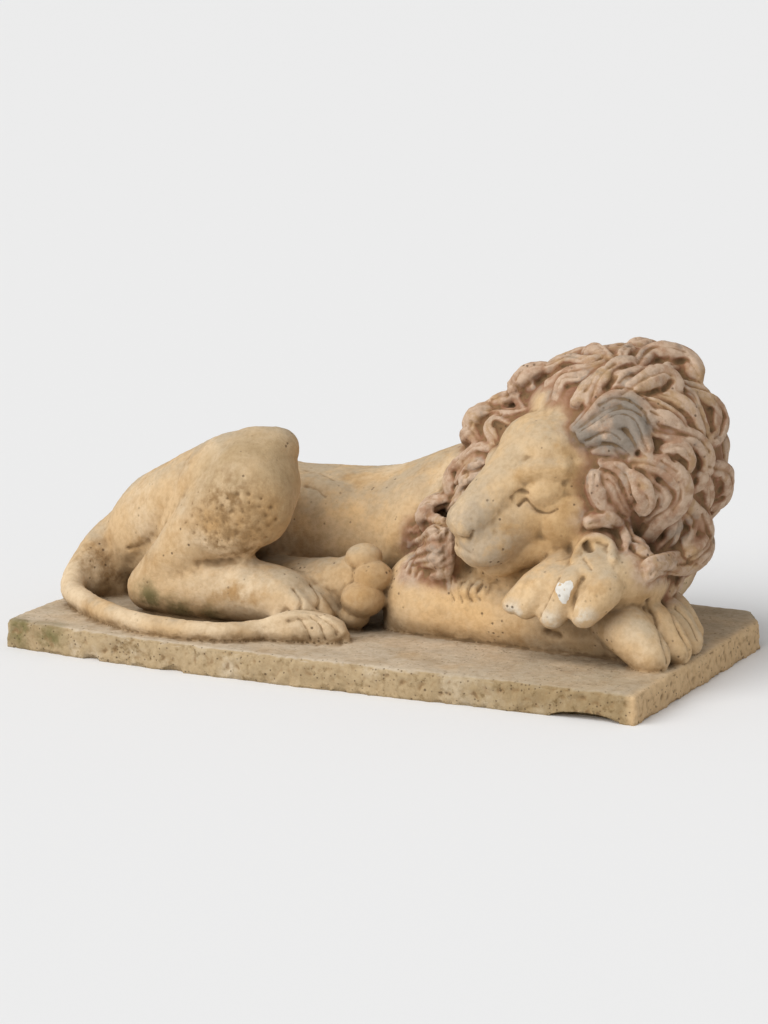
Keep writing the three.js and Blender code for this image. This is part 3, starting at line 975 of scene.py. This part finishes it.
# %% Thin the mesh
TRIANGLE_BUDGET = 196000
stone.vertices.foreach_set("co", (skin * MM).astype(np.float32).ravel())
stone.update()
stone_object.modifiers.new("Triangles", "TRIANGULATE")
thin = stone_object.modifiers.new("Thin", "DECIMATE")
thin.ratio = min(1, TRIANGLE_BUDGET / (2 * len(stone.polygons)))
graph = bpy.context.evaluated_depsgraph_get()
lion_mesh = bpy.data.meshes.new_from_object(stone_object.evaluated_get(graph))
lion_mesh.name = "lion_casting"
bpy.data.objects.remove(stone_object)
bpy.data.meshes.remove(stone)
lion = bpy.data.objects.new("lion_casting", lion_mesh)
scene.collection.objects.link(lion)
lion_mesh.shade_smooth()
print("lion has", len(lion_mesh.polygons), "triangles")

# %% [markdown]
# Weather works by shape: grime stays in hollows, rain and hands rub the ridges, and the shade that falls in
# hollows and shut-in places is painted into the colour too. So the finish needs to know, at each point, how
# hollow it is, how sheltered it is from the sky, and which part of the lion it belongs to. These are
# measured once on the mesh and kept as attributes that the material reads.

# %% Measure the surface
count = len(lion_mesh.vertices)
points = vectors(lion_mesh, "co") / MM
outward = vectors(lion_mesh, "normal")
ends = np.empty(len(lion_mesh.edges) * 2, int)
lion_mesh.edges.foreach_get("vertices", ends)
ends = ends.reshape(-1, 2)
degree = np.bincount(ends.ravel(), minlength=count)


def evened(values, passes):
    """Values averaged with their neighbours along the edges, several times over."""
    for _ in range(passes):
        total = np.bincount(ends[:, 0], values[ends[:, 1]], count)
        total += np.bincount(ends[:, 1], values[ends[:, 0]], count)
        values = 0.5 * values + 0.5 * total / degree
    return values


def hollowness(passes):
    """How far the evened surface stands out of the real one, in mm: above 0 in a hollow."""
    drift = np.stack([evened(points[:, axis], passes) for axis in range(3)], 1) - points
    return (drift * outward).sum(1)


def keep(name, values):
    """Stores one value for each point of the mesh."""
    lion_mesh.attributes.new(name, "FLOAT", "POINT").data.foreach_set("value", values.astype(np.float32))


fine_hollow = hollowness(6)
broad_hollow = hollowness(40)
keep("hollow", fine_hollow)
keep("broad_hollow", broad_hollow)
print("hollows reach", round(float(broad_hollow.max()), 2), "mm")

# %% [markdown]
# Shelter is measured with rays: from each point a fan of directions is tried, and the share that soon
# meets stone again says how shut in the point is. It is evened afterwards, so that few rays are enough.
# The finish paints shade with it: the more shut in a point is, the darker its colour.

# %% Shelter
RAYS = 14
RAY_REACH = 0.07
lion_tree = BVHTree.FromObject(lion, bpy.context.evaluated_depsgraph_get())
fan = []
for i in range(RAYS):
    height = 1 - (i + 0.5) / RAYS
    ring = math.sqrt(1 - height * height)
    fan.append(Vector((ring * math.cos(GOLDEN * i), ring * math.sin(GOLDEN * i), height)))
shelter = np.zeros(count)
for i in range(count):
    normal = Vector(outward[i])
    start = Vector(points[i] * MM) + normal * 0.0008
    turn = normal.to_track_quat("Z", "Y")
    shelter[i] = sum(1 for ray in fan if lion_tree.ray_cast(start, turn @ ray, RAY_REACH)[0] is not None)
shelter = evened(shelter / RAYS, 2)
keep("shelter", shelter)
print("mean shelter", round(float(shelter.mean()), 3))

# %% [markdown]
# Masks say where each finish lies: hair, slab, the grey stained forelock, the rubbed toe tips, and the
# places where shade is painted in, under the jaw, chin and calf, between the toes and in the gaps. A mask is
# a soft falloff round a few places.

# %% Masks


def near_places(places, reach, soft):
    """1 within the reach of any place, falling to 0 over the soft distance, in mm."""
    gap = np.full(count, 1e9)
    for place in places:
        gap = np.minimum(gap, np.linalg.norm(points - np.array(place), axis=1))
    return np.clip((reach + soft - gap) / soft, 0, 1)


hair_gap = np.array([hair_tree.find_nearest(Vector(spot * MM))[3] or 1 for spot in points]) / MM
HAIR_REACH, HAIR_SOFT = 13, 7
MANE_SKIN, MANE_SPREAD = 124, math.cos(math.radians(74))
from_mane = points - np.array(MANE)
mane_gap = np.linalg.norm(from_mane, axis=1)
in_mane = (mane_gap < MANE_SKIN) & (from_mane @ np.array(FORWARD) < MANE_SPREAD * mane_gap)
near_hair = np.clip((HAIR_REACH - hair_gap) / HAIR_SOFT, 0, 1)
hair_mask = evened(np.maximum(near_hair, in_mane), 3)
slab_mask = evened(np.clip((SLAB_THICK + 2 - points[:, 2]) / 3, 0, 1), 2)
TRACED_MASKS = {
    "forelock": (10, 14, [
        (584, 434), (598, 424), (612, 410), (628, 408), (620, 424), (606, 440), (626, 440), (640, 424),
    ]),
    "chip": (4, 4, [(560, 588), (567, 587), (564, 596)]),
    "rubbed": (5, 12, [(514, 612), (550, 622), (584, 618)]),
    "warm": (18, 60, [
        (350, 500), (385, 520), (410, 545), (440, 600), (470, 605), (545, 532), (520, 545), (575, 520),
    ]),
    "moss": (8, 22, [(150, 600), (180, 612), (215, 618), (20, 630), (50, 640)]),
    # painted shade in the gap between tail and rump and in the crease between calf and foot
    "gap_shade": (8, 24, [(92, 556), (104, 562), (112, 574), (252, 548), (224, 551)]),
    # painted shade: a darker ochre under the jaw and chin, under the calf and between the far paw's toes
    "deep": (10, 30, [
        (545, 532), (520, 548), (575, 522), (490, 562), (240, 530), (210, 520), (266, 515), (372, 578),
        (362, 600),
    ]),
    "dusk": (8, 34, [
        (466, 545), (488, 555), (474, 528), (500, 540), (462, 520), (453, 524), (470, 535), (480, 505),
    ]),
    "tan": (16, 40, [(235, 455), (262, 445), (212, 472), (250, 485), (282, 468), (270, 505)]),
}
traced = {}
for name, (reach, soft, pixels) in TRACED_MASKS.items():
    traced[name] = near_places([touched(lion_tree, u, v) for u, v in pixels], reach, soft)
# real wear on the calf's patch, joined with the painted shade in the gaps
traced["worn_and_gap_shade"] = np.maximum(near_places([patch_middle], 28, 40), traced.pop("gap_shade"))
for name, mask in traced.items():
    keep(name, mask)
keep("hair", hair_mask)
keep("slab", slab_mask)
keep("skyward", outward[:, 2])
# painted shade: the slab darkens towards its right end
keep("shade", np.clip((points[:, 0] - 100) / 170, 0, 1) * slab_mask)
keep("end", np.clip((points[:, 0] - 366) / 10, 0, 1) * slab_mask)
keep("low", np.clip((48 - points[:, 2]) / 14, 0, 1) * (1 - slab_mask))
keep("tail", near_places([Vector(at[:3]) for at in TAIL[2:] + TUFT], 16, 24))
print("hair covers", round(float(hair_mask.mean()) * 100), "percent of the points")

# %% [markdown]
# Two shader groups are used again and again: a mottle, which is noise at a size with a soft threshold, and
# pits, which are small dark holes scattered through the sand mix. Both read Object coordinates, so the
# pattern is in millimetres of real stone.

# %% Shader groups


def new_group(name, sockets):
    """An empty shader group with its sockets made: (name, 'in' or 'out', kind, value)."""
    tree = bpy.data.node_groups.new(name, "ShaderNodeTree")
    for label, way, kind, value in sockets:
        way = "INPUT" if way == "in" else "OUTPUT"
        socket = tree.interface.new_socket(label, in_out=way, socket_type="NodeSocket" + kind)
        if value is not None:
            socket.default_value = value
    return tree, tree.nodes.new("NodeGroupInput"), tree.nodes.new("NodeGroupOutput")


def add(tree, kind, values=None, **settings):
    """A shader node with its settings and input values."""
    made = tree.nodes.new("ShaderNode" + kind)
    for name, value in settings.items():
        setattr(made, name, value)
    for name, value in (values or {}).items():
        if isinstance(value, bpy.types.NodeSocket):
            tree.links.new(value, made.inputs[name])
        else:
            made.inputs[name].default_value = value
    return made


mottle, mottle_in, mottle_out = new_group("mottle", [
    ("Size mm", "in", "Float", 20.0),
    ("Low", "in", "Float", 0.4),
    ("High", "in", "Float", 0.6),
    ("Shift", "in", "Float", 0.0),
    ("Mask", "out", "Float", None),
])
place = add(mottle, "TexCoord").outputs["Object"]
shifted = add(mottle, "VectorMath", {0: place, 1: mottle_in.outputs["Shift"]}, operation="ADD")
pitch = add(mottle, "Math", {0: 1000.0, 1: mottle_in.outputs["Size mm"]}, operation="DIVIDE")
cloud = add(mottle, "TexNoise", {
    "Vector": shifted.outputs[0], "Scale": pitch.outputs[0], "Detail": 5.0, "Roughness": 0.62,
})
edge = add(mottle, "MapRange", {
    "Value": cloud.outputs["Fac"],
    "From Min": mottle_in.outputs["Low"],
    "From Max": mottle_in.outputs["High"],
}, interpolation_type="SMOOTHSTEP")
mottle.links.new(edge.outputs["Result"], mottle_out.inputs["Mask"])

pits, pits_in, pits_out = new_group("pits", [
    ("Size mm", "in", "Float", 8.0),
    ("Share", "in", "Float", 0.3),
    ("Mask", "out", "Float", None),
])
place = add(pits, "TexCoord").outputs["Object"]
pitch = add(pits, "Math", {0: 1000.0, 1: pits_in.outputs["Size mm"]}, operation="DIVIDE")
cells = add(pits, "TexVoronoi", {"Vector": place, "Scale": pitch.outputs[0], "Randomness": 1.0})
pick = add(pits, "SeparateColor", {"Color": cells.outputs["Color"]})
chosen = add(pits, "Math", {0: pick.outputs[0], 1: pits_in.outputs["Share"]}, operation="LESS_THAN")
hole = add(pits, "MapRange", {
    "Value": cells.outputs["Distance"], "From Min": 0.12, "From Max": 0.34, "To Min": 1.0, "To Max": 0.0,
}, interpolation_type="SMOOTHSTEP")
both = add(pits, "Math", {0: hole.outputs["Result"], 1: chosen.outputs[0]}, operation="MULTIPLY")
pits.links.new(both.outputs[0], pits_out.inputs["Mask"])
print("shader groups", mottle.name, "and", pits.name)

# %% [markdown]
# The stone's finish is laid on like a patina: a warm ochre ground with painted shade under the jaw and the
# calf, then the pinkish hair with red and painted shade in its recesses and pale worn ridges, then the grey
# slab, which gets darker towards its right end as painted shade, the stains, and last the dark grime and
# pits, with painted shade in the hollows and shut-in places. Each layer is a colour mixed in by a mask, so
# the order of the cell is the order of the brush.

# %% Cast stone
STONE_ROUGHNESS, STONE_SHINE = 0.92, 0.2
GRAIN_SCALE, GRAIN_BUMP, GRAIN_DEEP = 420.0, 0.55, 0.0014
stone_paint = bpy.data.materials.new("cast ochre stone")
stone_paint.use_nodes = True
paint = stone_paint.node_tree
shader = paint.nodes["Principled BSDF"]
shader.inputs["Roughness"].default_value = STONE_ROUGHNESS
shader.inputs["Specular IOR Level"].default_value = STONE_SHINE


def attribute(name):
    """One measured value of the surface."""
    return add(paint, "Attribute", attribute_name=name).outputs["Fac"]


def cloud_mask(size, low, high, shift=0.0):
    """A mottle of a size in mm."""
    made = add(paint, "Group", node_tree=mottle)
    for label, value in (("Size mm", size), ("Low", low), ("High", high), ("Shift", shift)):
        made.inputs[label].default_value = value
    return made.outputs["Mask"]


def pit_mask(size, share):
    """Scattered pits of a size in mm."""
    made = add(paint, "Group", node_tree=pits)
    made.inputs["Size mm"].default_value = size
    made.inputs["Share"].default_value = share
    return made.outputs["Mask"]


def span(value, low, high, top=1.0):
    """A value stretched so that low gives 0 and high gives the top."""
    return add(paint, "MapRange", {
        "Value": value, "From Min": low, "From Max": high, "To Min": 0.0, "To Max": top,
    }).outputs["Result"]


def times(a, b):
    """Two masks multiplied."""
    return add(paint, "Math", {0: a, 1: b}, operation="MULTIPLY").outputs[0]


def brush(under, colour, mask, blend="MIX"):
    """A colour laid over another where the mask is."""
    made = add(paint, "Mix", data_type="RGBA", blend_type=blend)
    paint.links.new(mask, made.inputs["Factor"])
    for socket, value in ((made.inputs[6], under), (made.inputs[7], colour)):
        if isinstance(value, bpy.types.NodeSocket):
            paint.links.new(value, socket)
        else:
            socket.default_value = (*value, 1)
    return made.outputs[2]


def layers(under, *coats):
    """Coats of colour laid one over another, each with its mask."""
    for coat in coats:
        under = brush(under, *coat)
    return under


OCHRE = (0.63, 0.44, 0.245)
OCHRE_WARM = (0.74, 0.495, 0.25)
OCHRE_PALE = (0.70, 0.54, 0.355)
# a deep ochre for mottles, and for painted shade under the jaw, chin and calf and between the toes
OCHRE_DEEP_AND_SHADE = (0.47, 0.29, 0.13)
GREY_BLOOM = (0.475, 0.385, 0.27)
DUSK_GREY = (0.46, 0.36, 0.25)
HAUNCH_TAN = (0.46, 0.33, 0.185)
# the dirt and grime colours below are real dirt and pits, and also painted shade in hollows, gaps and
# shut-in places
DIRT_AND_SHADE = (0.30, 0.185, 0.085)
GRIME_AND_SHADE = (0.10, 0.062, 0.032)
HAIR_BROWN = (0.405, 0.245, 0.155)
HAIR_OCHRE = (0.46, 0.30, 0.165)
HAIR_GREY = (0.37, 0.295, 0.23)
# the hair's red is its own tone in the recesses, deepened as painted shade; the dark brown after it is
# painted shade in the deepest recesses
HAIR_RED_AND_SHADE = (0.24, 0.10, 0.05)
HAIR_RECESS_SHADE = (0.10, 0.052, 0.03)
HAIR_PALE = (0.56, 0.41, 0.295)
SLAB_TOP = (0.60, 0.505, 0.385)
SLAB_END = (0.74, 0.52, 0.295)
SLAB_SIDE = (0.47, 0.35, 0.205)
SLAB_PALE = (0.66, 0.56, 0.42)
SLAB_DARK = (0.25, 0.17, 0.08)
# painted shade, multiplied over the slab towards its right end
SLAB_PAINTED_SHADE = (0.74, 0.71, 0.64)
MOSS_GREEN = (0.20, 0.165, 0.07)
STAIN_GREY = (0.28, 0.235, 0.19)
STAIN_DARK = (0.09, 0.078, 0.068)
RUBBED_WHITE = (0.72, 0.63, 0.50)
CHIP_WHITE = (0.72, 0.69, 0.63)
SAND_TINT = (0.72, 0.66, 0.58)

hollow = attribute("hollow")
broad = attribute("broad_hollow")
covered = attribute("shelter")
skyward = attribute("skyward")
hair_here = attribute("hair")
slab_here = attribute("slab")

ground = layers(
    OCHRE,
    (OCHRE_PALE, cloud_mask(90, 0.45, 0.68)),
    (OCHRE_WARM, times(attribute("warm"), cloud_mask(70, 0.25, 0.55, 6.6))),
    (OCHRE_DEEP_AND_SHADE, times(cloud_mask(38, 0.46, 0.70, 3.1), cloud_mask(150, 0.35, 0.6, 7.7))),
    (GREY_BLOOM, times(span(skyward, 0.1, 0.9, 0.85), cloud_mask(46, 0.36, 0.62, 11.3))),
    (OCHRE_PALE, times(attribute("tail"), cloud_mask(30, 0.15, 0.55, 8.1))),
    (HAUNCH_TAN, times(attribute("tan"), cloud_mask(56, 0.15, 0.6, 23.3))),
    # painted shade: darker ochre under the jaw and chin, under the calf and between the far paw's toes
    (OCHRE_DEEP_AND_SHADE, times(attribute("deep"), cloud_mask(40, 0.2, 0.6, 19.5))),
    (DUSK_GREY, times(attribute("dusk"), cloud_mask(24, 0.25, 0.6, 20.1))),
    # real dirt on the worn calf patch, and painted shade in the gap between tail and rump and in the calf's
    # crease
    (DIRT_AND_SHADE, times(attribute("worn_and_gap_shade"), cloud_mask(13, 0.38, 0.66, 12.5))),
    # darker in patches along the foot of the body, just above the slab
    (DIRT_AND_SHADE, times(attribute("low"), cloud_mask(18, 0.42, 0.64, 21.7))),
)
locks_colour = layers(
    HAIR_BROWN,
    (HAIR_OCHRE, cloud_mask(44, 0.48, 0.62, 14.2)),
    (HAIR_GREY, cloud_mask(36, 0.5, 0.68, 15.9)),
    (HAIR_PALE, times(span(broad, 0.0, -1.2), cloud_mask(14, 0.35, 0.6, 16.4))),
    # painted shade between the locks: reddish in the recesses, dark brown in the deepest ones
    (HAIR_RED_AND_SHADE, span(broad, -0.1, 1.5, 0.85)),
    (HAIR_RECESS_SHADE, span(broad, 1.0, 3.2, 0.55)),
)
slab_colour = layers(
    SLAB_SIDE,
    (SLAB_TOP, span(skyward, 0.5, 0.95)),
    (SLAB_PALE, span(cloud_mask(44, 0.5, 0.72, 17.3), 0.0, 1.0, 0.6)),
    (SLAB_DARK, times(cloud_mask(9, 0.5, 0.74, 5.2), span(skyward, 1.3, 0.2))),
    (SLAB_DARK, span(cloud_mask(70, 0.5, 0.75, 22.9), 0.0, 1.0, 0.5)),
    # painted shade: the slab darker towards its right end
    (SLAB_PAINTED_SHADE, attribute("shade"), "MULTIPLY"),
    (SLAB_END, span(attribute("end"), 0.0, 1.0, 0.8)),
)
stained = times(times(attribute("forelock"), hair_here), cloud_mask(26, 0.28, 0.55, 2.2))
chipped = times(attribute("chip"), cloud_mask(9, 0.2, 0.6, 4.4))
specks = times(pit_mask(6, 0.16), cloud_mask(48, 0.44, 0.62, 1.7))
holes = times(pit_mask(4, 0.26), slab_here)
ground = layers(
    ground,
    (locks_colour, hair_here),
    (slab_colour, slab_here),
    (MOSS_GREEN, times(attribute("moss"), cloud_mask(22, 0.34, 0.6, 13.8))),
    (STAIN_GREY, stained),
    (STAIN_DARK, times(stained, span(hollow, 0.05, 0.55, 0.8))),
    (RUBBED_WHITE, times(attribute("rubbed"), cloud_mask(16, 0.42, 0.6, 9.4))),
    (CHIP_WHITE, span(chipped, 0.28, 0.36)),
    # painted shade in broad and fine hollows, with some real grime, darkest where stone shuts a point in
    (DIRT_AND_SHADE, span(broad, 1.6, 6.0, 0.5)),
    (DIRT_AND_SHADE, span(hollow, 0.15, 0.75, 0.55)),
    (GRIME_AND_SHADE, span(hollow, 0.55, 1.50, 0.6)),
    (GRIME_AND_SHADE, span(covered, 0.40, 0.92, 0.75)),
    (SAND_TINT, span(cloud_mask(6, 0.40, 0.66, 18.6), 0.0, 1.0, 0.4), "MULTIPLY"),
    (GRIME_AND_SHADE, span(specks, 0.0, 1.0, 0.8)),
    (GRIME_AND_SHADE, span(holes, 0.0, 1.0, 0.7)),
)
paint.links.new(ground, shader.inputs["Base Color"])

grain = add(paint, "TexNoise", {"Scale": GRAIN_SCALE, "Detail": 4.0, "Roughness": 0.75})
paint.links.new(add(paint, "TexCoord").outputs["Object"], grain.inputs["Vector"])
pitted = add(paint, "Math", {0: specks, 1: holes}, operation="MAXIMUM").outputs[0]
height = add(paint, "Math", {0: grain.outputs["Fac"], 1: pitted}, operation="SUBTRACT").outputs[0]
bump = add(paint, "Bump", {"Height": height, "Strength": GRAIN_BUMP, "Distance": GRAIN_DEEP})
paint.links.new(bump.outputs["Normal"], shader.inputs["Normal"])
lion_mesh.materials.clear()
lion_mesh.materials.append(stone_paint)
print("cast stone has", len(paint.nodes), "nodes")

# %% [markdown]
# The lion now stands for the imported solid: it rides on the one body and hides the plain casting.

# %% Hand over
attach(lion, "root")
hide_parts("sleeping_lion")
